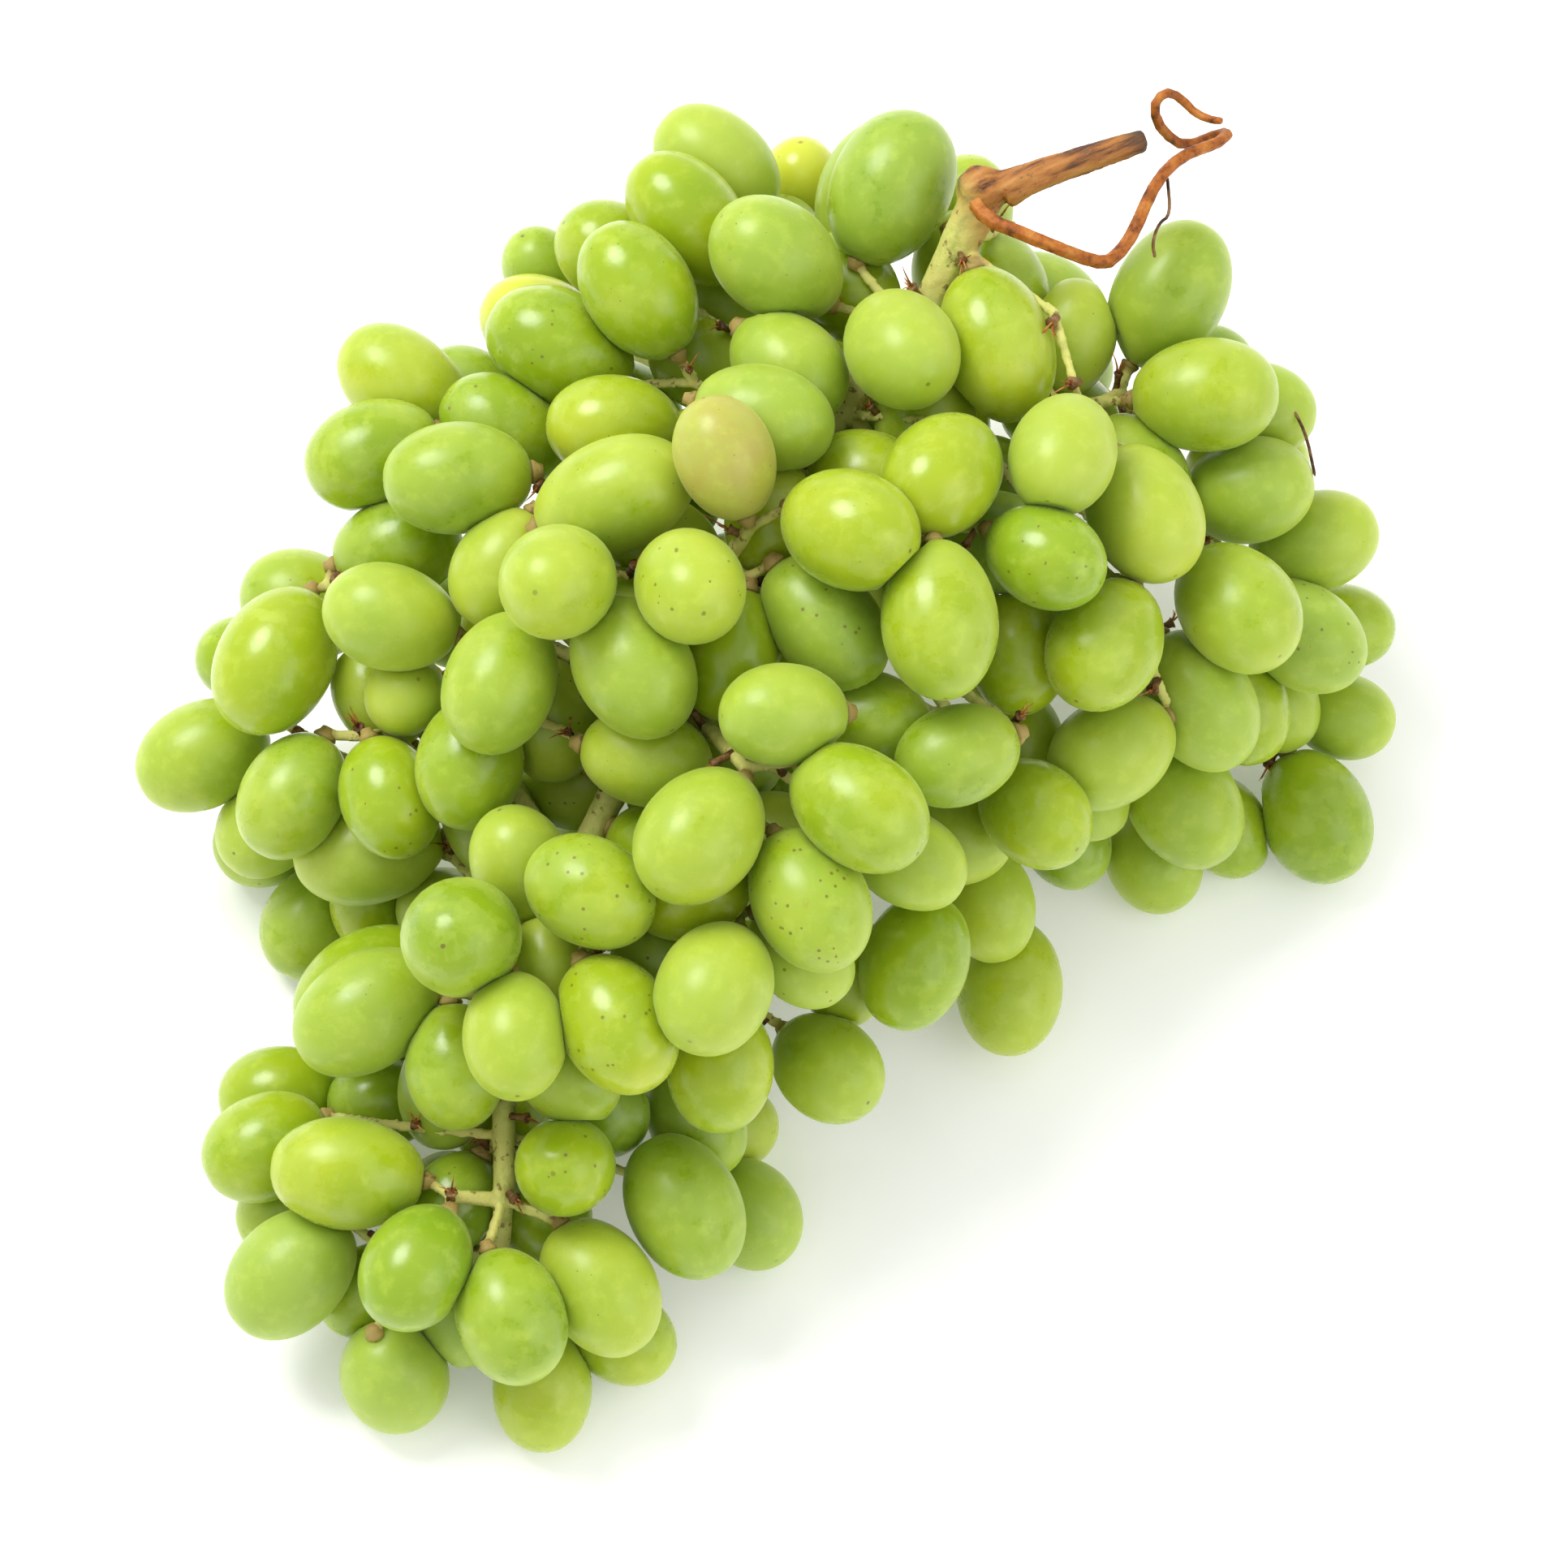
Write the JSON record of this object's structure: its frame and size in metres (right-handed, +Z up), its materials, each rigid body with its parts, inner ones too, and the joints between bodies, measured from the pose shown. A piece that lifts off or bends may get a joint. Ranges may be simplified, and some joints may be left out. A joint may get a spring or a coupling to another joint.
{
  "type": "bunch of grapes",
  "caption": "Bunch of oval white seedless table grapes lying on its side, with its stalk, a cut side arm and a curled tendril.",
  "frame": {"origin": "centre of the bunch's bounding box, on the surface it lies on", "axes": "+Z up from the surface; +X across the bunch, towards its right shoulder; +Y towards the stalk end; the tail of the bunch points to -Y"},
  "size_m": [0.1984, 0.204, 0.0964],
  "materials": {
    "berry_skin": "waxy yellow-green grape skin",
    "green_stalk": "green to brown grape stalk",
    "tendril_wood": "dry orange-brown tendril"
  },
  "bodies": {
    "root": {"stalk": "green_stalk", "tendril": "tendril_wood", "berries_01": "berry_skin", "berries_02": "berry_skin", "berries_03": "berry_skin", "berries_04": "berry_skin", "berries_05": "berry_skin", "berries_06": "berry_skin", "berries_07": "berry_skin", "berries_08": "berry_skin", "berries_09": "berry_skin", "berries_10": "berry_skin", "berries_11": "berry_skin", "berries_12": "berry_skin", "berries_13": "berry_skin", "berries_14": "berry_skin", "berries_15": "berry_skin", "berries_16": "berry_skin", "berries_17": "berry_skin", "berries_18": "berry_skin", "berries_19": "berry_skin", "berries_20": "berry_skin", "berries_21": "berry_skin", "berries_22": "berry_skin", "berries_23": "berry_skin", "berries_24": "berry_skin", "berries_25": "berry_skin", "berries_26": "berry_skin", "berries_27": "berry_skin", "berries_28": "berry_skin", "berries_29": "berry_skin", "berries_30": "berry_skin", "berries_31": "berry_skin", "berries_32": "berry_skin", "berries_33": "berry_skin", "berries_34": "berry_skin", "berries_35": "berry_skin", "berries_36": "berry_skin", "berries_37": "berry_skin", "berries_38": "berry_skin", "berries_39": "berry_skin", "berries_40": "berry_skin", "berries_41": "berry_skin", "berries_42": "berry_skin", "berries_43": "berry_skin", "berries_44": "berry_skin", "berries_45": "berry_skin", "berries_46": "berry_skin", "berries_47": "berry_skin", "berries_48": "berry_skin", "berries_49": "berry_skin", "berries_50": "berry_skin", "berries_51": "berry_skin", "berries_52": "berry_skin", "berries_53": "berry_skin", "berries_54": "berry_skin", "berries_55": "berry_skin", "berries_56": "berry_skin", "berries_57": "berry_skin"}
  },
  "joints": []
}
